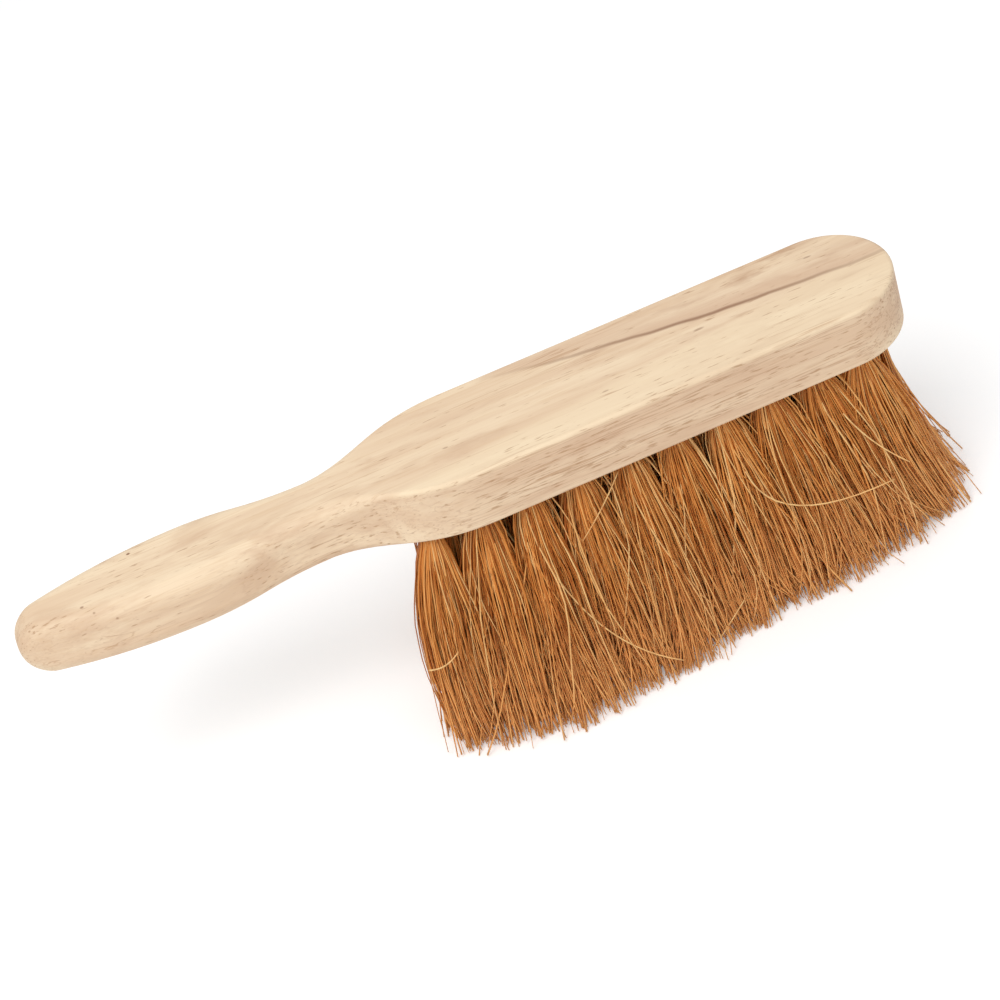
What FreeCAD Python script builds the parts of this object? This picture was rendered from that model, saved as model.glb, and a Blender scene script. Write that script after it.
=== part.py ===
"""Wooden hand broom: a one-piece stock, forty coir tufts and the flat wire anchors that hold them.

Millimetres, +Z up. The broom stands on its fibre tips at z = 0 with its length along X, the handle
towards -X and the round nose towards +X. The origin is on the floor, halfway along the whole broom.
"""
import math
import os

import FreeCAD
import Part
import Sketcher

V = FreeCAD.Vector
Constraint = Sketcher.Constraint
SHEET = "Dimensions"

# Driving dimensions in millimetres.
DIMENSIONS = {
    # Stock
    "stock_length": 278.6,
    "stock_thickness": 19.5,
    "head_width": 43.0,
    "head_length": 138.0,  # nose tip back to the start of the shoulder
    "shoulder_length": 48.0,  # from there to the neck
    "neck_width": 20.0,
    "neck_to_grip": 39.5,
    "grip_width": 29.0,
    "tip_radius": 7.4,  # handle's end in plan
    "tip_trim": 0.6,  # of that arc, taken off by the rounding seen from the side
    "end_radius": 9.4,  # handle's end seen from the side, above and below
    "head_edge_radius": 1.2,
    "handle_edge_radius": 5.4,
    # Holes drilled in the underside of the head
    "hole_diameter": 6.8,  # across the corners: holes and tufts are drawn with eight sides
    "hole_depth": 10.5,
    "outer_row": 12.3,  # centre line to an outer row
    "inner_row": 4.6,  # centre line to an inner row
    "tuft_pitch": 15.25,
    "last_hole_from_nose": 11.5,
    # Fibre tufts
    "fibre_length": 65.0,  # underside of the stock to the trimmed tips
    "fibre_clearance": 0.15,
    "collar": 1.5,  # straight stretch below the hole
    "flare_drop": 7.0,  # below the stock, where a tuft has opened fastest
    "bloom_drop": 23.0,  # below the stock, where neighbouring tufts meet
    "tuft_gap": 1.0,
    "handle_lean": 10.0,  # tips of the first tufts, towards the handle
    "nose_lean": 9.5,  # tips of the last tufts, towards the nose
    "tip_row_handle": 32.0,  # centre line to an outer row at the tips, handle end
    "tip_row_nose": 23.5,
    # Flat wire anchors, one across the bottom of each hole
    "anchor_thickness": 0.5,
    "anchor_height": 2.0,
    "anchor_cover": 2.5,  # fold of fibre between anchor and wood
    "anchor_clearance": 0.05,
}
TUFTS_PER_ROW = 10
# Row name: side of the centre line, and whether it is the outer row of that side
ROWS = {
    "front_outer": (-1, True),
    "front_inner": (-1, False),
    "back_inner": (1, False),
    "back_outer": (1, True),
}
SIDES = 8
ACROSS_FLATS = math.cos(math.pi / SIDES)  # width of a regular octagon over its corner diameter
BEVEL = 1 - math.sqrt(0.5)  # corner cut of a regular octagon over its width
FLARE = 0.55  # share of the way from stem to full room that a tuft has opened at its flare
OVERRUN = 5.0  # cutting tools start this far outside the piece
FILLET_LIMIT = 0.8  # largest edge radius, as a share of the radius or half thickness it runs on
SLAB_LIMIT = 0.97  # largest rounding seen from the side, as a share of half the thickness
SMOOTH_ANGLE = 0.1  # faces that turn less than this, in radians, run on smoothly


def cell(name):
    """A dimension's name as expressions write it."""
    return f"{SHEET}.{name}"


def make_sheet(doc):
    sheet = doc.addObject("Spreadsheet::Sheet", SHEET)
    for row, (name, value) in enumerate(DIMENSIONS.items(), start=1):
        sheet.set(f"A{row}", name)
        sheet.set(f"B{row}", str(value))
        sheet.setAlias(f"B{row}", name)
    doc.recompute()
    return sheet


class Layout:
    """Places along the broom, worked out from the sheet."""

    def __init__(self, sheet):
        self.sheet = sheet
        for name in DIMENSIONS:
            setattr(self, name, float(sheet.get(name)))
        self.plan_length = self.stock_length + self.tip_trim
        self.shoulder_x = self.plan_length - self.head_length
        self.neck_x = self.shoulder_x - self.shoulder_length
        self.grip_x = self.neck_x - self.neck_to_grip
        self.fan = f"({cell('handle_lean')} + {cell('nose_lean')}) / {TUFTS_PER_ROW - 1}"
        last_tip = self.stock_length - self.last_hole_from_nose + self.nose_lean
        reach = max(self.stock_length, last_tip + self.value(self.tuft_width("1")) / 2)
        self.tip_x = -reach / 2
        self.plan_x = self.tip_x - self.tip_trim
        self.hole_width = f"{ACROSS_FLATS:.4f} * {cell('hole_diameter')}"

    def value(self, expression):
        return float(self.sheet.evalExpression(expression))

    def tuft_width(self, share):
        """Expression: room for a tuft along its row, at a share of the way from hole to tip."""
        return f"{cell('tuft_pitch')} + {share} * {self.fan} - {cell('tuft_gap')}"

    def tip_row(self, station):
        """Expression: an outer row's offset at the tips, where station runs from 0 to 1 along the row."""
        spread = f"({cell('tip_row_nose')} - {cell('tip_row_handle')})"
        return f"({cell('tip_row_handle')} + {station:.4f} * {spread})"

    def row_offset(self, outer, station, share):
        """Expression: a row's offset at a share of the way from hole to tip."""
        start = cell("outer_row") if outer else cell("inner_row")
        end = self.tip_row(station) if outer else f"{self.tip_row(station)} / 3"
        return f"((1 - {share}) * {start} + {share} * {end})"

    def tuft_depth(self, station, share):
        """Expression: room for a tuft across the rows."""
        outer = self.row_offset(True, station, share)
        inner = self.row_offset(False, station, share)
        return f"min({outer} - {inner}; 2 * {inner}) - {cell('tuft_gap')}"

    def station(self, index):
        return index / (TUFTS_PER_ROW - 1)

    def mouth(self, row, index):
        """Centre of a hole on the underside."""
        side, outer = ROWS[row]
        last_inner = self.tip_x + self.stock_length - self.last_hole_from_nose
        last = last_inner - self.tuft_pitch / 2 if outer else last_inner
        x = last - (TUFTS_PER_ROW - 1 - index) * self.tuft_pitch
        return V(x, side * (self.outer_row if outer else self.inner_row), self.fibre_length)

    def tip(self, row, index):
        """Centre of a tuft's trimmed end."""
        side, outer = ROWS[row]
        station = self.station(index)
        lean = station * self.nose_lean - (1 - station) * self.handle_lean
        y = self.value(self.row_offset(outer, station, "1"))
        return V(self.mouth(row, index).x + lean, side * y, 0)

    def up(self, row, index):
        """Direction of a hole, from its mouth into the wood."""
        return (self.mouth(row, index) - self.tip(row, index)).normalize()

    def along_hole(self, row, index, depth):
        """Placement on a hole's axis, depth above its mouth, with Z into the wood."""
        up = self.up(row, index)
        turn = FreeCAD.Rotation(V(1, 0, 0), V(0, 1, 0), up, "ZXY")
        return FreeCAD.Placement(self.mouth(row, index) + up * depth, turn)

    def below(self, row, index, drop):
        """Level placement on a tuft's axis, drop below the underside."""
        mouth = self.mouth(row, index)
        share = drop / self.fibre_length
        return FreeCAD.Placement(mouth + (self.tip(row, index) - mouth) * share, FreeCAD.Rotation())

    def root_rise(self, row, index):
        """Height above the underside of a level root that just meets the slanted bottom of its hole."""
        slant = self.up(row, index)
        radius = self.hole_diameter / 2 - self.fibre_clearance
        return self.hole_depth * slant.z - radius * math.hypot(slant.x, slant.y)


def origin_plane(body, role):
    return next(plane for plane in body.Origin.OriginFeatures if plane.Role == role)


def add_dimension(sketch, name, expression, constraint):
    index = sketch.addConstraint(constraint)
    sketch.renameConstraint(index, name)
    sketch.setExpression(f"Constraints.{name}", expression)


def arc(centre, radius, start, end):
    return Part.ArcOfCircle(Part.Circle(V(*centre, 0), V(0, 0, 1), radius), start, end)


def equal_arcs(run, rise):
    """Radius and turn of two equal arcs that join two parallel lines in an S."""
    radius = (run**2 + rise**2) / (4 * rise)
    return radius, math.asin(run / 2 / radius)


def draw_half_plan(sketch, at):
    """Half the stock's outline: X from the end of the handle's arc, Y from the centre line."""
    head, neck, grip = at.head_width / 2, at.neck_width / 2, at.grip_width / 2
    nose_x = at.plan_length - head
    waist, waist_turn = equal_arcs(at.shoulder_length, head - neck)
    swell, swell_turn = equal_arcs(at.neck_to_grip, grip - neck)
    run = at.grip_x - at.tip_radius
    taper = (run**2 + grip**2 - at.tip_radius**2) / (2 * (grip - at.tip_radius))
    taper_turn = math.asin(run / (taper - at.tip_radius))
    quarter = math.pi / 2
    curves = [
        arc((nose_x, 0), head, 0, quarter),
        Part.LineSegment(V(nose_x, head, 0), V(at.shoulder_x, head, 0)),
        arc((at.shoulder_x, head - waist), waist, quarter, quarter + waist_turn),
        arc((at.neck_x, neck + waist), waist, 3 * quarter, 3 * quarter + waist_turn),
        arc((at.neck_x, neck + swell), swell, 3 * quarter - swell_turn, 3 * quarter),
        arc((at.grip_x, grip - swell), swell, quarter - swell_turn, quarter),
        arc((at.grip_x, grip - taper), taper, quarter, quarter + taper_turn),
        arc((at.tip_radius, 0), at.tip_radius, quarter + taper_turn, math.pi),
        Part.LineSegment(V(0, 0, 0), V(at.plan_length, 0, 0)),
    ]
    sketch.addGeometry(curves, False)
    nose, side, shoulder, waist_arc, swell_arc, grip_arc, taper_arc, tip, axis = range(len(curves))
    start, end, centre = 1, 2, 3
    sketch.addConstraint(
        [
            Constraint("Tangent", nose, end, side, start),
            Constraint("Tangent", side, end, shoulder, start),
            Constraint("Tangent", shoulder, end, waist_arc, end),
            Constraint("Tangent", waist_arc, start, swell_arc, end),
            Constraint("Tangent", swell_arc, start, grip_arc, start),
            Constraint("Tangent", grip_arc, end, taper_arc, start),
            Constraint("Tangent", taper_arc, end, tip, start),
            Constraint("Coincident", tip, end, axis, start),
            Constraint("Coincident", nose, start, axis, end),
            Constraint("Coincident", axis, start, -1, 1),
            Constraint("PointOnObject", axis, end, -1),
            Constraint("PointOnObject", nose, centre, -1),
            Constraint("PointOnObject", tip, centre, -1),
            Constraint("Horizontal", side),
            Constraint("Equal", shoulder, waist_arc),
            Constraint("Equal", swell_arc, grip_arc),
            Constraint("Vertical", waist_arc, start, waist_arc, centre),
            Constraint("Vertical", grip_arc, end, grip_arc, centre),
        ]
    )
    origin = (-1, 1)
    plan_length = f"{cell('stock_length')} + {cell('tip_trim')}"
    nose_tip, shoulder_start = (axis, end), (side, end)
    neck_point, grip_point = (waist_arc, start), (grip_arc, end)
    for name, expression, kind, first, second, value in (
        ("length", plan_length, "DistanceX", origin, nose_tip, at.plan_length),
        ("head_length", cell("head_length"), "DistanceX", shoulder_start, nose_tip, at.head_length),
        ("head", f"{cell('head_width')} / 2", "DistanceY", origin, shoulder_start, head),
        ("shoulder", cell("shoulder_length"), "DistanceX", neck_point, shoulder_start, at.shoulder_length),
        ("neck", f"{cell('neck_width')} / 2", "DistanceY", origin, neck_point, neck),
        ("to_grip", cell("neck_to_grip"), "DistanceX", grip_point, neck_point, at.neck_to_grip),
        ("grip", f"{cell('grip_width')} / 2", "DistanceY", origin, grip_point, grip),
    ):
        add_dimension(sketch, name, expression, Constraint(kind, *first, *second, value))
    add_dimension(sketch, "tip", cell("tip_radius"), Constraint("Radius", tip, at.tip_radius))


def meets_at_corner(shape, edge):
    """Whether the two faces beside an edge meet at an angle."""
    middle = edge.valueAt((edge.FirstParameter + edge.LastParameter) / 2)
    normals = [face.normalAt(*face.Surface.parameter(middle)) for face in shape.ancestorsOfType(edge, Part.Face)]
    return normals[0].getAngle(normals[-1]) > SMOOTH_ANGLE


def edge_radius(x, at):
    """Edge rounding along the stock: fine round the head, growing to full from waist to neck."""
    limit = FILLET_LIMIT * min(at.tip_radius, at.stock_thickness / 2)
    head, handle = min(at.head_edge_radius, limit), min(at.handle_edge_radius, limit)
    share = (x - at.plan_x - at.neck_x) / (at.shoulder_length / 2)
    return handle + (head - handle) * min(1, max(0, share))


def eased_edges(shape, at):
    """The outline's edges, above, below and round the handle's end, with the radii at their ends."""
    middle = at.fibre_length + at.stock_thickness / 2

    def heading(edge):
        """Way an edge runs along the outline, which goes round the top one way and the underside the other."""
        first, last = edge.Vertexes[0].Point, edge.Vertexes[-1].Point
        place = edge.CenterOfMass
        return (last.x - first.x) * place.y * (place.z - middle) > 0

    edges = [item for item in enumerate(shape.Edges, start=1) if meets_at_corner(shape, item[1])]
    # The outline is walked the way its first edge runs, so every edge's two radii go in that order.
    forward = heading(edges[0][1])
    radii = []
    for number, edge in edges:
        ends = [edge.Vertexes[0].X, edge.Vertexes[-1].X]
        if heading(edge) != forward:
            ends.reverse()
        radii.append((number, edge_radius(ends[0], at), edge_radius(ends[1], at)))
    return radii


def build_rounded_slab(doc, at):
    """A slab as thick as the stock, fully rounded at the handle's end and running past the nose."""
    slab = doc.addObject("Part::Box", "slab")
    slab.setExpression("Length", f"{cell('stock_length')} + {OVERRUN}")
    slab.setExpression("Width", f"{cell('head_width')} + {2 * OVERRUN}")
    slab.setExpression("Height", cell("stock_thickness"))
    slab.Placement.Base = V(at.tip_x, -at.head_width / 2 - OVERRUN, at.fibre_length)
    doc.recompute()
    radius = min(at.end_radius, SLAB_LIMIT * at.stock_thickness / 2)
    rounded = doc.addObject("Part::Fillet", "rounded_slab")
    rounded.Base = slab
    rounded.Edges = [
        (number, radius, radius)
        for number, edge in enumerate(slab.Shape.Edges, start=1)
        if edge.BoundBox.XMax < at.tip_x + radius and edge.BoundBox.YLength > radius
    ]
    return rounded


def build_stock_blank(doc, at):
    """The plank sawn to its outline, with its handle's end and edges rounded, before drilling."""
    body = doc.addObject("PartDesign::Body", "stock_blank")
    sketch = body.newObject("Sketcher::SketchObject", "half_plan")
    sketch.AttachmentSupport = [(origin_plane(body, "XY_Plane"), "")]
    sketch.MapMode = "FlatFace"
    draw_half_plan(sketch, at)
    pad = body.newObject("PartDesign::Pad", "half_stock")
    pad.Profile = sketch
    pad.setExpression("Length", cell("stock_thickness"))
    mirror = body.newObject("PartDesign::Mirrored", "whole_stock")
    mirror.Originals = [pad]
    mirror.MirrorPlane = (origin_plane(body, "XZ_Plane"), [""])
    body.Tip = mirror
    body.Placement.Base = V(at.plan_x, 0, 0)
    body.setExpression("Placement.Base.z", cell("fibre_length"))
    rounded = doc.addObject("Part::Common", "rounded_stock")
    rounded.Base = body
    rounded.Tool = build_rounded_slab(doc, at)
    rounded.Refine = True
    doc.recompute()
    eased = doc.addObject("Part::Fillet", "eased_stock")
    eased.Base = rounded
    eased.Edges = eased_edges(rounded.Shape, at)
    doc.recompute()
    return eased


def build_hole(doc, at, row, index):
    """The drill's body: square bottom, mouth well below the underside, flats along and across the row."""
    hole = doc.addObject("Part::Prism", f"hole_{row}_{index + 1:02d}")
    hole.Polygon = SIDES
    hole.setExpression("Circumradius", f"{cell('hole_diameter')} / 2")
    hole.setExpression("Height", f"{cell('hole_depth')} + {OVERRUN}")
    half_side = FreeCAD.Placement(V(), FreeCAD.Rotation(V(0, 0, 1), 180 / SIDES))
    hole.Placement = at.along_hole(row, index, -OVERRUN) * half_side
    return hole


def build_anchor(doc, at, row, index):
    """A strip of flat wire that spans its hole, with the fold of the tuft over it."""
    anchor = doc.addObject("Part::Box", f"anchor_{row}_{index + 1:02d}")
    anchor.setExpression("Length", f"{at.hole_width} - 2 * {cell('anchor_clearance')}")
    anchor.setExpression("Width", cell("anchor_thickness"))
    anchor.setExpression("Height", cell("anchor_height"))
    half_length = at.value(at.hole_width) / 2 - at.anchor_clearance
    corner = FreeCAD.Placement(V(-half_length, -at.anchor_thickness / 2, 0), FreeCAD.Rotation())
    lowest = at.hole_depth - at.anchor_cover - at.anchor_height
    anchor.Placement = at.along_hole(row, index, lowest) * corner
    return anchor


def octagon_section(doc, at, name, sizes, placement):
    """A level octagon centred on its placement, its corners cut at 45 degrees."""
    cut = f"{BEVEL:.4f} * min({sizes[0]}; {sizes[1]})"
    wide, deep = (at.value(size) / 2 for size in sizes)
    bevel = at.value(cut)
    x, y = wide - bevel, deep - bevel
    points = [(-x, -deep), (x, -deep), (wide, -y), (wide, y), (x, deep), (-x, deep), (-wide, y), (-wide, -y)]
    corners = [V(*point, 0) for point in points]
    sides = range(len(corners))
    sketch = doc.addObject("Sketcher::SketchObject", name)
    sketch.addGeometry([Part.LineSegment(corners[i - 1], corners[i]) for i in sides], False)
    front, right = 1, 3
    start, end, opposite = 1, 2, 4
    sketch.addConstraint(
        [Constraint("Coincident", i - 1 if i else sides[-1], end, i, start) for i in sides]
        + [Constraint("Symmetric", i, start, i + opposite, start, -1, 1) for i in range(opposite)]
        + [Constraint("Symmetric", front, start, front, end, -2)]
        + [Constraint("Symmetric", right, start, right, end, -1)]
    )
    back, left = front + opposite, right + opposite
    for label, expression, kind, ends, value in (
        ("wide", sizes[0], "DistanceX", (left, start, right, start), 2 * wide),
        ("deep", sizes[1], "DistanceY", (front, start, back, start), 2 * deep),
        ("front", f"{sizes[0]} - 2 * {cut}", "DistanceX", (front, start, front, end), 2 * x),
        ("side", f"{sizes[1]} - 2 * {cut}", "DistanceY", (right, start, right, end), 2 * y),
    ):
        add_dimension(sketch, label, expression, Constraint(kind, *ends, value))
    sketch.Placement = placement
    return sketch


def build_tuft(doc, at, row, index, anchor):
    """A folded bundle: close in its hole, opening to meet its neighbours, trimmed level at the floor."""
    name = f"tuft_{row}_{index + 1:02d}"
    station = at.station(index)
    stem = f"{at.hole_width} - 2 * {cell('fibre_clearance')}"
    flare_sizes, bloom_sizes, tip_sizes = (
        (at.tuft_width(share), at.tuft_depth(station, share))
        for share in (f"{cell('flare_drop')} / {cell('fibre_length')}",
                      f"{cell('bloom_drop')} / {cell('fibre_length')}", "1")
    )
    flare_sizes = [f"{1 - FLARE:.2f} * ({stem}) + {FLARE} * ({room})" for room in flare_sizes]
    loft = doc.addObject("Part::Loft", f"{name}_bundle")
    loft.Sections = [
        octagon_section(doc, at, f"{name}_{part}", sizes, at.below(row, index, drop))
        for part, sizes, drop in (
            ("root", (stem, stem), -at.root_rise(row, index)),
            ("collar", (stem, stem), at.collar),
            ("flare", flare_sizes, at.flare_drop),
            ("bloom", bloom_sizes, at.bloom_drop),
            ("tip", tip_sizes, at.fibre_length),
        )
    ]
    loft.Solid = True
    loft.Ruled = True
    loft.Linearize = True
    tuft = doc.addObject("Part::Cut", name)
    tuft.Base = loft
    tuft.Tool = anchor
    return tuft


def group(doc, name, members):
    compound = doc.addObject("Part::Compound", name)
    compound.Links = members
    return compound


def build_stock(doc, blank, holes):
    """The eased blank with its field of holes."""
    stock = doc.addObject("Part::Cut", "stock")
    stock.Base = blank
    stock.Tool = group(doc, "drill_field", holes)
    return stock


def check(doc, pieces):
    for item in doc.Objects:
        if {"Invalid", "Error"} & set(item.State):
            raise RuntimeError(f"{item.Label} failed: {item.State}")
    for piece in pieces:
        if piece.Shape.isNull() or not piece.Shape.isValid():
            raise RuntimeError(f"{piece.Label} has no valid shape")


def main():
    doc = FreeCAD.newDocument("hand_broom")
    at = Layout(make_sheet(doc))
    places = [(row, index) for row in ROWS for index in range(TUFTS_PER_ROW)]
    blank = build_stock_blank(doc, at)
    holes = [build_hole(doc, at, *place) for place in places]
    anchors = [build_anchor(doc, at, *place) for place in places]
    tufts = [build_tuft(doc, at, *place, anchor) for place, anchor in zip(places, anchors)]
    stock = build_stock(doc, blank, holes)
    tuft_anchors = group(doc, "tuft_anchors", anchors)
    doc.recompute()
    pieces = [stock, tuft_anchors, *tufts]
    check(doc, pieces)
    os.makedirs("parts", exist_ok=True)
    for piece in pieces:
        piece.Shape.exportStep(f"parts/{piece.Label}.step")


main()
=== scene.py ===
"""Looks of the wooden hand broom: grain on the stock, and coir strands in place of the plain tufts.

Metres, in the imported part's frame: X along the broom towards the nose, Z up, fibre tips on the floor.
"""
import math

import bpy
import numpy as np
from mathutils import Matrix, Vector


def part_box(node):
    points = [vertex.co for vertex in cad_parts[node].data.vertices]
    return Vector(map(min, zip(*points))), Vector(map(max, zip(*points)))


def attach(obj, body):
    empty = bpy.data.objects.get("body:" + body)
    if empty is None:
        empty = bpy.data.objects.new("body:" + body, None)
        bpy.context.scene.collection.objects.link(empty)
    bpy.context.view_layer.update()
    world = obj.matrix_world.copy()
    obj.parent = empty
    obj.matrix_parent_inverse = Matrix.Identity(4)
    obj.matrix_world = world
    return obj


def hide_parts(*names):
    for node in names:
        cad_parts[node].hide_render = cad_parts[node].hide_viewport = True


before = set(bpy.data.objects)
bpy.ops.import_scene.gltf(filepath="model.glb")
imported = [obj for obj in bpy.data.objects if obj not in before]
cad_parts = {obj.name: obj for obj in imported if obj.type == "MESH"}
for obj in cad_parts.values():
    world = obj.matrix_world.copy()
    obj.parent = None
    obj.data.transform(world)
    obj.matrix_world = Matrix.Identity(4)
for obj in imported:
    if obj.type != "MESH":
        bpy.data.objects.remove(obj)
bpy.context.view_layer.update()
MM = 0.001


def rgb(red, green, blue):
    """A colour as a screen shows it, from 0 to 255, as the linear one that shaders take."""
    linear = [((c / 255 + 0.055) / 1.055) ** 2.4 for c in (red, green, blue)]
    return (*linear, 1.0)


# Camera, fitted to the photograph
AIM = Vector((0.84, -24.75, 75.0)) * MM
AZIMUTH = -6.54  # degrees, negative towards the handle
ELEVATION = 38.69
ROLL = 19.07
DISTANCE = 0.8427
LENS = 106.07  # for the usual 36 mm sensor

# Stage
KEY_PLACE = (-0.32, -0.52, 1.1)
KEY_SIZE = 0.7
KEY_POWER = 6.8
SKY_STRENGTH = 0.65
WHITE = (1, 1, 1, 1)
FLOOR_COLOUR = (0.95, 0.95, 0.95, 1)
FLOOR_REACH = 4.0
FLOOR_GLOW = 0.21  # lifts the floor to white where it is seen

# Fibres
SEED = 11
STRANDS = {"outer": 480, "inner": 260}  # in each tuft of such a row
RINGS = {"outer": 13, "inner": 8}  # cross-sections along a strand
SIDES = 3
STRAND_RADIUS = 0.27 * MM
RADIUS_SPREAD = 0.28
TIP_SIZE = 0.7  # thickness at the tip over that at the root
ROOT_INSIDE = 3.0 * MM  # strands start this far inside their holes
ROW_ENDS = {0: "handle", 9: "nose"}
# Level cuts through a plain tuft, from which its strands take their places
CUTS = 24
LOWEST_CUT = 0.2 * MM
# Bunches that a tuft's tips gather into, and how far a strand's place at the tips is free of its root's
CLUMPS = 14
CLUMP_PULL = 0.3
CROSSING = 0.62
STRAY_SHARE = 0.12
STRAY_CROSSING = 0.9
# How loosely strands hang, where most have 1
STRAY_LOOSE = 3.0
END_LOOSE = 0.6
# Bends of single strands
LEAN = np.array((2.6, 0.5)) * MM  # along and across the broom
BOW = 2.0 * MM
CLUMP_BOW = 1.8 * MM
WAVE_MM = (0.4, 2.0)
WAVE_COUNT = (0.6, 1.7)
KINK_MM = (0.2, 0.9)
KINK_COUNT = (2.0, 3.5)
TIP_CALM = 0.6  # share by which waves and kinks are damped at the tip
TIP_HEIGHT = (0.2 * MM, 1.0 * MM)
TIP_SCATTER = 0.6 * MM
TURN_AT_HOLE = 0.8 * MM
TURN_AT_END_HOLE = 0.2 * MM
# Differences between whole tufts: no two bulge or lean alike
BULGE = 0.14
SWAY = 0.9 * MM
# Spread of the strands along the broom over the plain tuft's, at these parts of their length
FILL_AT = (0.045, 0.12, 0.25, 0.4, 1.0)
FILL = (1.0, 1.03, 1.15, 1.24, 1.1)
# Shifts of the strands from the plain tufts in mm, from the handle to the nose: of the tips and of the
# middles along the broom, and of the tips outwards
TIP_SHIFT = {
    "front_outer": (2, 0, 0, 0, 0, 0, 0, 0, 1, 1.5),
    "front_inner": (-3, -2, 0, 0, 0, 0, 0, 0, 0, 0),
    "back_inner": (9, 4, 0, 0, 0, 0, 0, 0, 0, 0),
    "back_outer": (17, 10, 5, 2, 0, 0, 0, 0, 0, -2),
}
MIDDLE_SHIFT = {
    "front_outer": (-1.2, 0, 0, 0, 0, 0, 0, 0, -1, -3),
    "front_inner": (0.5, 0, 0, 0, 0, 0, 0, 0, -2, -5.5),
    "back_inner": (5.5, 1, 0, 0, 0, 0, 0, 0, -2, -6),
    "back_outer": (8.5, 3, 0, 0, 0, 0, 0, 0, -2, -6),
}
OUTWARD_SHIFT = {
    "front_outer": (-4, 3, 8, 6.5, 6.5, 3, 2, 3, -0.5, -5),
    "front_inner": (0,) * 10,
    "back_inner": (0,) * 10,
    "back_outer": (0,) * 10,
}
OUTWARD_CURVE = 1.5  # power of the length by which the outward shift grows
# Single pale strands that stand out on the front, each a bow in mm: its start, the point that it bends
# towards and its end, with the tuft that it belongs to
LONE_STRANDS = {
    "front_outer_08": ((72.5, -23, 47), (75, -31, 26), (114, -31, 28)),
    "front_outer_05": ((37, -18, 62), (30, -21.5, 55), (20, -24, 48)),
    "front_outer_06": ((59, -36, 12), (52, -38, 7), (45, -40, 2.5)),
    "front_outer_04": ((8, -25, 45), (14, -38, 18), (35, -43, 6)),
    "front_outer_10": ((106, -21, 51), (110, -27, 41), (120, -30, 31)),
    "front_outer_01": ((-36, -29, 30), (-31, -31, 29), (-26, -29, 32)),
}
LONE_RADIUS = 0.32 * MM
# Tones put the strands of a tuft in order, the palest last: most have 0 to 1, and strays have more
STRAY_TONE = 0.5
LONE_TONE = 2.0
CAP_PLACES = (0.2, 0.5, 0.8)  # corners of a strand's end across its strip of the map
COIR_TONES = (
    (0.0, rgb(174, 94, 30)),
    (0.3, rgb(217, 138, 60)),
    (0.65, rgb(238, 164, 84)),
    (0.9, rgb(244, 184, 110)),
    (1.0, rgb(248, 204, 138)),
)
COIR_PATCH = rgb(188, 112, 44)
COIR_TIP = rgb(252, 186, 116)

# Wood
WOOD_PALE = rgb(245, 222, 190)
WOOD_BAND = rgb(231, 202, 170)
WOOD_CLOUD = rgb(212, 178, 147)
WOOD_FIBRE = rgb(218, 182, 140)
LINE_BROWN = rgb(184, 140, 102)
FLECK_BROWN = rgb(170, 126, 88)
SPOT_BROWN = rgb(128, 78, 50)
SIDE_PINK = rgb(206, 168, 138)
SIDE_LINE = rgb(180, 138, 106)
EDGE_BROWN = rgb(172, 124, 90)
FRONT_PALE = rgb(247, 225, 191)
STREAK_PINK = rgb(210, 174, 146)
STREAK_BROWN = rgb(152, 112, 86)
# Heights, from where a colour starts to where it is full
BACK_RIM = (82 * MM, 84 * MM)
SIDE_RIM = (85 * MM, 83.9 * MM)
SIDE_FOOT = (66 * MM, 71 * MM)
EDGE_HEIGHT = 84.7 * MM  # middle of the brown edge
# Stations along the broom, likewise
SIDE_FROM = (-40 * MM, 20 * MM)
EDGE_FROM = (35 * MM, 90 * MM)
STREAK_FROM = (2 * MM, 35 * MM)
STREAK_DARK_FROM = (10 * MM, 75 * MM)
STREAK_DARK_TO = (150 * MM, 85 * MM)
STREAK = (22.6 * MM, -0.292, 0.96)  # brown streak on the back of the head: y from x by a parabola
FRONT_SLOPE = 0.11  # the pale band's border over the broom's axis
# Spots: place, half length and half width in mm, and strength
SPOTS = (
    ((-103.0, 8.1, 84.5), 0.8, 0.6, 0.85),
    ((-120.6, -6.6, 84.4), 0.8, 0.6, 0.6),
    ((-118.0, -10.0, 83.6), 0.7, 0.6, 0.6),
    ((-112.5, -13.0, 80.6), 0.8, 0.7, 0.6),
    ((75.5, 0.3, 84.5), 2.2, 0.7, 0.45),
    ((115.5, 12.0, 84.5), 1.8, 0.5, 0.5),
    ((-7.0, -4.5, 84.5), 1.2, 0.5, 0.4),
    ((42.0, -9.5, 84.5), 1.4, 0.5, 0.35),
)

# Wire
WIRE_DULL = rgb(150, 152, 156)
WIRE_BRIGHT = rgb(196, 198, 202)


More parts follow.
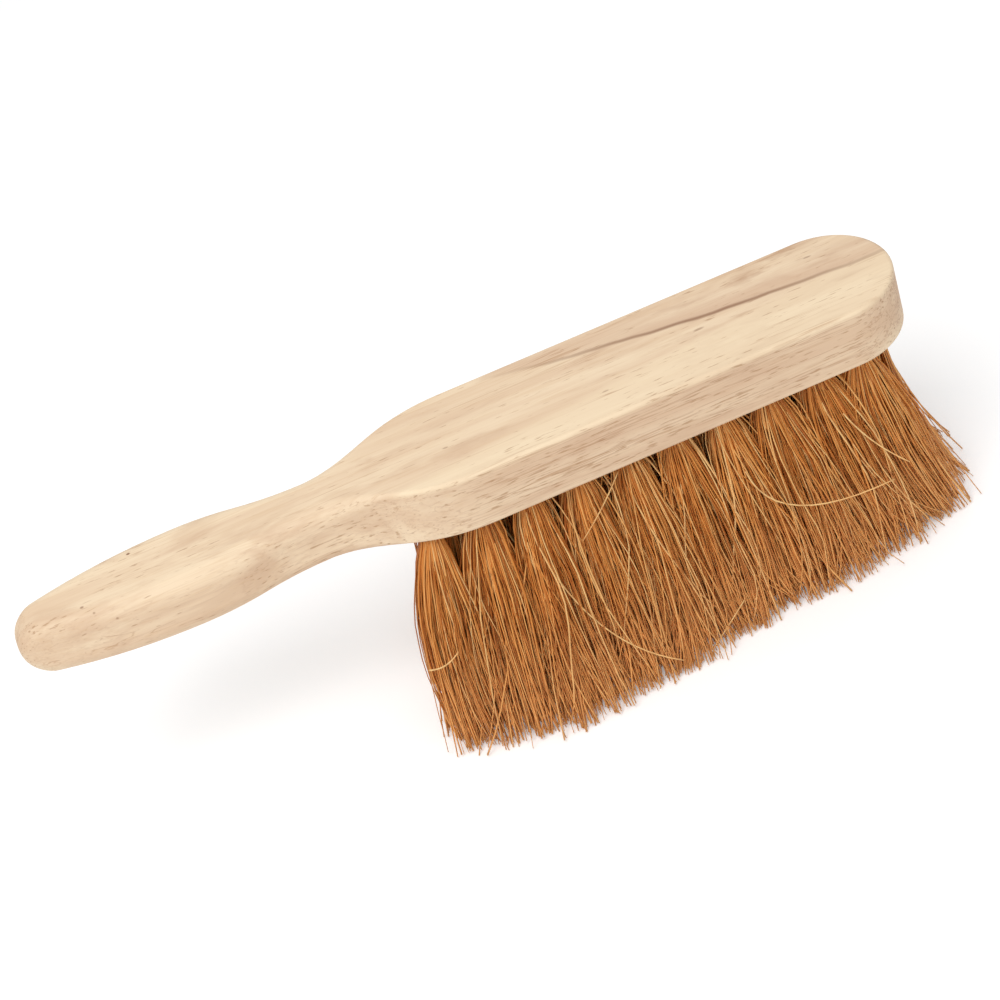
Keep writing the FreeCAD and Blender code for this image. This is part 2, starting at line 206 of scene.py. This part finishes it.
class Graph:
    """Short calls for building one material's nodes."""

    def __init__(self, name):
        self.material = bpy.data.materials.new(name)
        self.material.use_nodes = True
        self.tree = self.material.node_tree
        self.shader = self.tree.nodes["Principled BSDF"]

    def put(self, socket, value):
        if isinstance(value, bpy.types.NodeSocket):
            self.tree.links.new(value, socket)
        else:
            socket.default_value = value

    def add(self, kind, inputs=(), **settings):
        node = self.tree.nodes.new(kind)
        for key, value in settings.items():
            setattr(node, key, value)
        for key, value in dict(inputs).items():
            self.put(node.inputs[key], value)
        return node

    def place(self):
        return self.add("ShaderNodeTexCoord").outputs["Object"]

    def axes(self, vector):
        return self.add("ShaderNodeSeparateXYZ", {0: vector}).outputs

    def math(self, operation, *values):
        return self.add("ShaderNodeMath", enumerate(values), operation=operation).outputs[0]

    def times(self, first, second):
        return self.math("MULTIPLY", first, second)

    def stretched(self, place, scale):
        return self.add("ShaderNodeVectorMath", {0: place, 1: scale}, operation="MULTIPLY").outputs[0]

    def noise(self, place, scale, detail=2.0, roughness=0.5, distortion=0.0):
        """A noise from 0 to 1 with a scale for each axis, which on wood is in waves per metre."""
        settings = {"Vector": self.stretched(place, scale), "Scale": 1.0, "Detail": detail}
        settings |= {"Roughness": roughness, "Distortion": distortion}
        return self.add("ShaderNodeTexNoise", settings).outputs["Fac"]

    def rise(self, value, start, full):
        """0 up to the start, 1 from where it is full, smooth between."""
        node = self.add("ShaderNodeMapRange", {"Value": value, "From Min": start, "From Max": full})
        node.interpolation_type = "SMOOTHSTEP"
        return node.outputs["Result"]

    def near(self, value, start, full):
        """The same for the size of a value, whatever its sign."""
        return self.rise(self.math("ABSOLUTE", value), start, full)

    def lines(self, place, scale, width):
        """1 on thin lines, where a noise has its middle value."""
        off = self.math("SUBTRACT", self.noise(place, scale, detail=3), 0.5)
        return self.near(off, width, 0.0)

    def mix(self, factor, under, over):
        node = self.add("ShaderNodeMix", data_type="RGBA")
        sockets = node.inputs[0], node.inputs[6], node.inputs[7]
        for socket, value in zip(sockets, (factor, under, over)):
            self.put(socket, value)
        return node.outputs[2]

    def tint(self, under, over, amount, strength):
        return self.mix(self.times(amount, strength), under, over)

    def ramp(self, value, stops):
        node = self.add("ShaderNodeValToRGB", {"Fac": value})
        elements = node.color_ramp.elements
        while len(elements) < len(stops):
            elements.new(0.5)
        for element, (position, colour) in zip(elements, stops):
            element.position = position
            element.color = colour
        return node.outputs["Color"]

    def finish(self, **inputs):
        for name, value in inputs.items():
            self.put(self.shader.inputs[name.replace("_", " ")], value)
        return self.material


def plain_grain(g, place):
    """The colour of bands, clouds and fine fibres along the grain, and the fibres' own pattern."""
    bands = g.noise(place, (9, 150, 150), detail=4)
    colour = g.mix(g.rise(bands, 0.35, 0.68), WOOD_PALE, WOOD_BAND)
    clouds = g.noise(place, (22, 75, 75), detail=4, roughness=0.6, distortion=0.6)
    colour = g.tint(colour, WOOD_CLOUD, g.rise(clouds, 0.46, 0.7), 0.66)
    fibre = g.noise(place, (55, 1500, 1500), detail=3)
    return g.tint(colour, WOOD_FIBRE, g.rise(fibre, 0.45, 0.75), 0.3), fibre


def tinted_sides(g, place, colour):
    """The colour with pinker sides and a ragged brown edge near the nose, and where the sides are."""
    x, _, z = g.axes(place)
    uneven = g.math("MULTIPLY_ADD", g.noise(place, (60, 300, 300), detail=3), 1.6 * MM, z)
    side = g.times(g.rise(uneven, *SIDE_RIM), g.rise(uneven, *SIDE_FOOT))
    side = g.times(side, g.math("MULTIPLY_ADD", g.rise(x, *SIDE_FROM), 0.7, 0.3))
    colour = g.tint(colour, SIDE_PINK, side, 0.33)
    colour = g.tint(colour, SIDE_LINE, g.times(g.lines(place, (14, 520, 520), 0.03), side), 0.5)
    patches = g.rise(g.noise(place, (70, 250, 250), detail=3), 0.47, 0.6)
    ragged = g.times(g.rise(x, *EDGE_FROM), patches)
    edge = g.near(g.math("SUBTRACT", uneven, EDGE_HEIGHT), 0.7 * MM, 0.1 * MM)
    return g.tint(colour, EDGE_BROWN, g.times(edge, ragged), 0.55), side


def streaked_back(g, place, colour):
    """The colour with the brown streak on the back of the head.

    It wanders a little and is darkest in the middle of the head. The wood behind it is pinker, and a pale
    band runs along the front edge and widens up to the streak at the nose.
    """
    x, y, z = g.axes(place)
    wander = g.math("MULTIPLY_ADD", g.noise(place, (45, 0, 0)), 3 * MM, -1.5 * MM)
    y = g.math("ADD", y, wander)
    back = g.rise(z, *BACK_RIM)
    border = g.math("MULTIPLY_ADD", x, -FRONT_SLOPE, y)
    colour = g.tint(colour, FRONT_PALE, g.times(g.rise(border, -10 * MM, -14 * MM), back), 0.55)

    line = g.math("MULTIPLY_ADD", g.math("MULTIPLY_ADD", x, STREAK[2], STREAK[1]), x, STREAK[0])
    behind = g.math("SUBTRACT", y, line)
    shown = g.times(g.rise(x, *STREAK_FROM), back)
    pink = g.times(g.rise(behind, -1 * MM, 1.5 * MM), g.rise(behind, 15 * MM, 3 * MM))
    cloud = g.math("MULTIPLY_ADD", g.noise(place, (30, 200, 200), detail=3), 0.6, 0.1)
    colour = g.tint(colour, STREAK_PINK, g.times(pink, cloud), shown)
    core = g.times(g.near(behind, 1.3 * MM, 0.1 * MM), shown)
    dark = g.times(g.rise(x, *STREAK_DARK_FROM), g.rise(x, *STREAK_DARK_TO))
    return g.tint(colour, STREAK_BROWN, core, g.math("MULTIPLY_ADD", dark, 0.6, 0.25))


def spotted(g, place, colour):
    for centre, length, width, strength in SPOTS:
        offset = g.add("ShaderNodeVectorMath", {0: place, 1: Vector(centre) * MM}, operation="SUBTRACT")
        scaled = g.stretched(offset.outputs[0], (1 / length / MM, 1 / width / MM, 1 / width / MM))
        distance = g.add("ShaderNodeVectorMath", {0: scaled}, operation="LENGTH").outputs["Value"]
        colour = g.tint(colour, SPOT_BROWN, g.rise(distance, 1.0, 0.4), strength)
    return colour


def wood_material():
    """Bare sanded hardwood: pale bands, long lines, short flecks, one brown streak and a few spots."""
    g = Graph("sanded_wood")
    place = g.place()
    colour, fibre = plain_grain(g, place)
    colour, side = tinted_sides(g, place, colour)
    colour = streaked_back(g, place, colour)

    # Long thin lines that come and go along the grain
    shown = g.rise(g.noise(place, (28, 90, 90)), 0.45, 0.7)
    colour = g.tint(colour, LINE_BROWN, g.times(g.lines(place, (8, 240, 240), 0.014), shown), 0.6)

    # Flecks, in groups, and more of them on the sides
    fleck = g.noise(place, (180, 1600, 1600))
    group = g.math("MULTIPLY_ADD", g.noise(place, (26, 130, 130)), 0.32, fleck)
    pore = g.rise(g.math("MULTIPLY_ADD", side, 0.08, group), 0.8, 0.93)
    colour = g.tint(colour, FLECK_BROWN, pore, 0.6)
    colour = spotted(g, place, colour)

    relief = g.math("SUBTRACT", g.times(fibre, 0.5), pore)
    bump = g.add("ShaderNodeBump", {"Height": relief, "Strength": 0.25, "Distance": 0.2 * MM})
    roughness = g.math("MULTIPLY_ADD", fibre, 0.15, 0.52)
    return g.finish(
        Base_Color=colour, Roughness=roughness, Normal=bump.outputs["Normal"], Specular_IOR_Level=0.3
    )


def coir_material():
    """Coconut fibre: each strand has its own tone with darker patches, and is paler towards its tip."""
    g = Graph("coir")
    strip = g.add("ShaderNodeUVMap", uv_map="OFBake").outputs["UV"]
    tone, along, _ = g.axes(strip)
    patches = g.noise(strip, (400, 9, 0))
    colour = g.tint(g.ramp(tone, COIR_TONES), COIR_PATCH, g.rise(patches, 0.4, 0.7), 0.4)
    colour = g.tint(colour, COIR_TIP, g.rise(along, 0.4, 1.0), 0.55)
    return g.finish(Base_Color=colour, Roughness=0.5, Specular_IOR_Level=0.35)


def wire_material():
    """Dull galvanised wire, hidden in the holes."""
    g = Graph("anchor_wire")
    spangle = g.noise(g.place(), (2500, 2500, 2500))
    colour = g.mix(spangle, WIRE_DULL, WIRE_BRIGHT)
    return g.finish(Base_Color=colour, Metallic=1.0, Roughness=0.45)


def sections(node, heights):
    """Centre and half size, across X and Y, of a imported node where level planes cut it."""
    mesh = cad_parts[node].data
    points = np.array([v.co for v in mesh.vertices])
    edges = np.array([e.vertices for e in mesh.edges])
    start, end = points[edges[:, 0]], points[edges[:, 1]]
    found = []
    for height in heights:
        crossing = (start[:, 2] - height) * (end[:, 2] - height) <= 0
        crossing &= start[:, 2] != end[:, 2]
        a, b = start[crossing], end[crossing]
        cut = a + (b - a) * ((height - a[:, 2]) / (b[:, 2] - a[:, 2]))[:, None]
        found.append((cut[:, :2].min(0), cut[:, :2].max(0)))
    ends = np.array(found)
    return ends.mean(1), (ends[:, 1] - ends[:, 0]) / 2


def in_disc(rng, count):
    """Even places in a unit disc."""
    radius = np.sqrt(rng.random(count))
    angle = rng.random(count) * math.tau
    return np.stack((radius * np.cos(angle), radius * np.sin(angle)), 1)


def squared(places):
    """Places in the unit disc pushed out along their rays to fill its square."""
    length = np.linalg.norm(places, axis=1, keepdims=True)
    return places * length / np.abs(places).max(1, keepdims=True)


def strand_places(rng, count, at_end):
    """Places of a tuft's strands at root and tip, across it from -1 to 1, with its strays and clumps."""
    at_root = in_disc(rng, count)
    stray = rng.random(count) < (0 if at_end else STRAY_SHARE)
    free = np.where(stray, STRAY_CROSSING, CROSSING)[:, None]
    kept = squared(at_root)
    own = rng.uniform(-1, 1, (count, 2))
    if at_end == "handle":  # round to its tips, where the other tufts fill a square
        kept = at_root
        own = in_disc(rng, count)
    at_tip = kept * np.sqrt(1 - free**2) + own * free
    clump_at = rng.uniform(-1, 1, (CLUMPS, 2))
    clump = np.argmin(((at_tip[:, None] - clump_at) ** 2).sum(2), 1)
    at_tip += np.where(stray, 0, CLUMP_PULL)[:, None] * (clump_at[clump] - at_tip)
    at_tip[:, 1] = at_tip[:, 1].clip(-1, 1)
    return at_root, at_tip, stray, clump


def strand_paths(rng, node, count, rings, top, shifts, at_end):
    """Centre lines of a tuft's strands, and which of them stray: none at the ends of the rows."""
    heights = np.linspace(LOWEST_CUT, top, CUTS)
    centre, half = sections(node, heights)
    at_root, at_tip, stray, clump = strand_places(rng, count, at_end)

    each = (count, 1)
    loose = np.where(stray, STRAY_LOOSE, END_LOOSE if at_end else 1.0)[:, None]
    lean = rng.normal(0, 1, (count, 2)) * loose * LEAN
    bow = rng.normal(0, BOW, (count, 2)) * loose + rng.normal(0, CLUMP_BOW, (CLUMPS, 2))[clump]
    wave = rng.uniform(*WAVE_MM, each) * MM * loose
    wave_turn = rng.random(each) * math.tau
    wave_start = rng.random(each) * math.tau
    wave_count = rng.uniform(*WAVE_COUNT, each) * math.tau
    kink = rng.uniform(*KINK_MM, each) * MM
    kink_count = rng.uniform(*KINK_COUNT, each) * math.tau
    tip_z = rng.uniform(*TIP_HEIGHT, CLUMPS)[clump] + np.abs(rng.normal(0, TIP_SCATTER, count))
    bulge = rng.uniform(-BULGE, BULGE)
    sway = rng.normal(0, SWAY)
    turn_at_hole = rng.normal(0, TURN_AT_END_HOLE if at_end else TURN_AT_HOLE, each) * loose

    t = np.linspace(0, 1, rings)
    belly = np.sin(math.pi * t)
    shoulder = np.sin(math.pi * np.sqrt(t))
    z = top + (tip_z[:, None] - top) * t
    ripple = wave * np.sin(wave_start + wave_count * t) + kink * np.sin(wave_turn + kink_count * t)
    swing = t * (1 - TIP_CALM * t) * ripple
    fills = (np.interp(t, FILL_AT, FILL) * (1 + bulge * shoulder), 1.0)
    paths = np.empty((count, rings, 3))
    paths[:, :, 2] = z
    for axis, turn in ((0, np.cos(wave_turn)), (1, np.sin(wave_turn))):
        spread = at_root[:, axis, None] * (1 - t) + at_tip[:, axis, None] * t
        middle = np.interp(z, heights, centre[:, axis])
        room = np.interp(z, heights, half[:, axis]) * fills[axis]
        bent = lean[:, axis, None] * t**2 + bow[:, axis, None] * belly * t
        paths[:, :, axis] = middle + room * spread + bent + swing * turn
    tip_shift, middle_shift, outward_shift = shifts
    paths[:, :, 0] += tip_shift * t**2 + middle_shift * belly + (sway * t + turn_at_hole) * shoulder
    paths[:, :, 1] += outward_shift * t**OUTWARD_CURVE
    return paths, stray


def lone_strand(name, rings):
    """Centre line of the single strand that stands out on the named tuft, if it has one."""
    if name not in LONE_STRANDS:
        return np.empty((0, rings, 3))
    start, pull, end = np.array(LONE_STRANDS[name]) * MM
    t = np.linspace(0, 1, rings)[:, None]
    return (start * (1 - t) ** 2 + 2 * pull * t * (1 - t) + end * t**2)[None]


def strand_mesh(name, paths, radii, tones):
    """Closed three-sided tubes along the paths, laid side by side in tone order on the map for baking."""
    count, rings, _ = paths.shape
    tangent = np.gradient(paths, axis=1)
    tangent /= np.linalg.norm(tangent, axis=2, keepdims=True)
    across = np.cross(tangent, (0, 1, 0))
    across /= np.linalg.norm(across, axis=2, keepdims=True)
    outward = np.cross(tangent, across)
    angle = np.arange(SIDES)[:, None] * math.tau / SIDES
    ring = np.cos(angle) * across[:, :, None] + np.sin(angle) * outward[:, :, None]
    taper = np.linspace(1.0, TIP_SIZE, rings)
    size = radii[:, None, None, None] * taper[None, :, None, None]
    points = (paths[:, :, None] + size * ring).reshape(-1, 3)

    strand, i, j = np.meshgrid(np.arange(count), np.arange(rings - 1), np.arange(SIDES), indexing="ij")
    start = (strand * rings + i) * SIDES
    end = start + SIDES
    after = (j + 1) % SIDES
    sides = np.stack((start + j, end + j, end + after, start + after), -1).reshape(-1, 4)
    first = np.arange(count) * rings * SIDES
    root = first[:, None] + np.arange(SIDES)
    tip = root[:, ::-1] + (rings - 1) * SIDES
    mesh = bpy.data.meshes.new(name)
    mesh.from_pydata(points.tolist(), [], sides.tolist() + root.tolist() + tip.tolist())

    order = np.empty(count)
    order[np.argsort(tones)] = np.arange(count)
    left = (order[strand] + j / SIDES) / count
    right = (order[strand] + (j + 1) / SIDES) / count
    low = i / (rings - 1)
    high = (i + 1) / (rings - 1)
    side_map = np.stack((left, low, left, high, right, high, right, low), -1).ravel()
    cap_u = (order[:, None] + np.array(CAP_PLACES)) / count
    caps = [np.stack((cap_u, np.full_like(cap_u, v)), -1).ravel() for v in (0.0, 1.0)]
    layer = mesh.uv_layers.new(name="OFBake")
    layer.uv.foreach_set("vector", np.concatenate([side_map, *caps]))
    mesh.polygons.foreach_set("use_smooth", np.ones(len(mesh.polygons), bool))
    mesh.update()
    return mesh


def add_fibres(material, underside):
    """One object of strands for each packed tuft."""
    top = underside + ROOT_INSIDE
    tufts = [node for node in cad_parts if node.startswith("tuft_") and node[-1].isdigit()]
    for number, node in enumerate(sorted(tufts)):
        _, side, row, place = node.split("_")
        name = f"{side}_{row}"
        index = int(place) - 1
        count, rings = STRANDS[row], RINGS[row]
        outwards = -1 if side == "front" else 1
        shifts = (
            TIP_SHIFT[name][index],
            MIDDLE_SHIFT[name][index],
            outwards * OUTWARD_SHIFT[name][index],
        )

        rng = np.random.default_rng(SEED + number)
        at_end = ROW_ENDS.get(index)
        paths, stray = strand_paths(rng, node, count, rings, top, np.array(shifts) * MM, at_end)
        radii = STRAND_RADIUS * np.exp(rng.normal(0, RADIUS_SPREAD, count))
        tones = rng.random(count) + STRAY_TONE * stray
        lone = lone_strand(f"{name}_{place}", rings)
        paths = np.concatenate((paths, lone))
        radii = np.append(radii, [LONE_RADIUS] * len(lone))
        tones = np.append(tones, [LONE_TONE] * len(lone))

        piece = bpy.data.objects.new(f"fibres_{name}_{place}", strand_mesh(node, paths, radii, tones))
        bpy.context.scene.collection.objects.link(piece)
        piece.data.materials.append(material)
        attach(piece, "root")
        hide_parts(node)


def dress(node, material):
    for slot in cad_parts[node].material_slots:
        slot.material = material


def add_camera():
    azimuth = math.radians(AZIMUTH)
    elevation = math.radians(ELEVATION)
    level = math.cos(elevation)
    back = Vector((math.sin(azimuth) * level, -math.cos(azimuth) * level, math.sin(elevation)))
    right = Vector((math.cos(azimuth), math.sin(azimuth), 0))
    axes = Matrix((right, back.cross(right), back)).transposed()
    turn = axes @ Matrix.Rotation(math.radians(-ROLL), 3, "Z")
    camera = bpy.data.objects.new("camera", bpy.data.cameras.new("camera"))
    camera.data.lens = LENS
    camera.matrix_world = Matrix.Translation(AIM + back * DISTANCE) @ turn.to_4x4()
    bpy.context.scene.collection.objects.link(camera)
    bpy.context.scene.camera = camera


def add_key_light():
    """A square soft box high up in front, on the handle's side, aimed at the broom."""
    lamp = bpy.data.objects.new("key", bpy.data.lights.new("key", "AREA"))
    lamp.data.size = KEY_SIZE
    lamp.data.energy = KEY_POWER
    lamp.location = KEY_PLACE
    lamp.rotation_euler = (Vector(KEY_PLACE) - AIM).to_track_quat("Z", "Y").to_euler()
    bpy.context.scene.collection.objects.link(lamp)


def floor_material():
    """Matt and pale, with a glow that only the camera, mirrors and glass see."""
    g = Graph("pale_floor")
    rays = g.add("ShaderNodeLightPath").outputs
    mirrored = g.math("MAXIMUM", rays["Is Glossy Ray"], rays["Is Transmission Ray"])
    seen = g.math("MAXIMUM", rays["Is Camera Ray"], mirrored)
    return g.finish(
        Base_Color=FLOOR_COLOUR, Roughness=0.9, Specular_IOR_Level=0.0,
        Emission_Color=WHITE, Emission_Strength=g.times(seen, FLOOR_GLOW),
    )


def add_stage():
    """Pale floor, white surroundings and one soft box."""
    scene = bpy.context.scene
    mesh = bpy.data.meshes.new("floor")
    low, high = -FLOOR_REACH, FLOOR_REACH
    corners = [(low, low, 0), (high, low, 0), (high, high, 0), (low, high, 0)]
    mesh.from_pydata(corners, [], [(0, 1, 2, 3)])
    mesh.materials.append(floor_material())
    floor = bpy.data.objects.new("floor", mesh)
    scene.collection.objects.link(floor)
    scene.world = bpy.data.worlds.new("surroundings")
    scene.world.use_nodes = True
    sky = scene.world.node_tree.nodes["Background"]
    sky.inputs["Color"].default_value = WHITE
    sky.inputs["Strength"].default_value = SKY_STRENGTH
    add_key_light()
    scene.view_settings.view_transform = "Standard"


def main():
    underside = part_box("stock")[0].z
    dress("stock", wood_material())
    dress("tuft_anchors", wire_material())
    add_fibres(coir_material(), underside)
    add_stage()
    add_camera()


main()
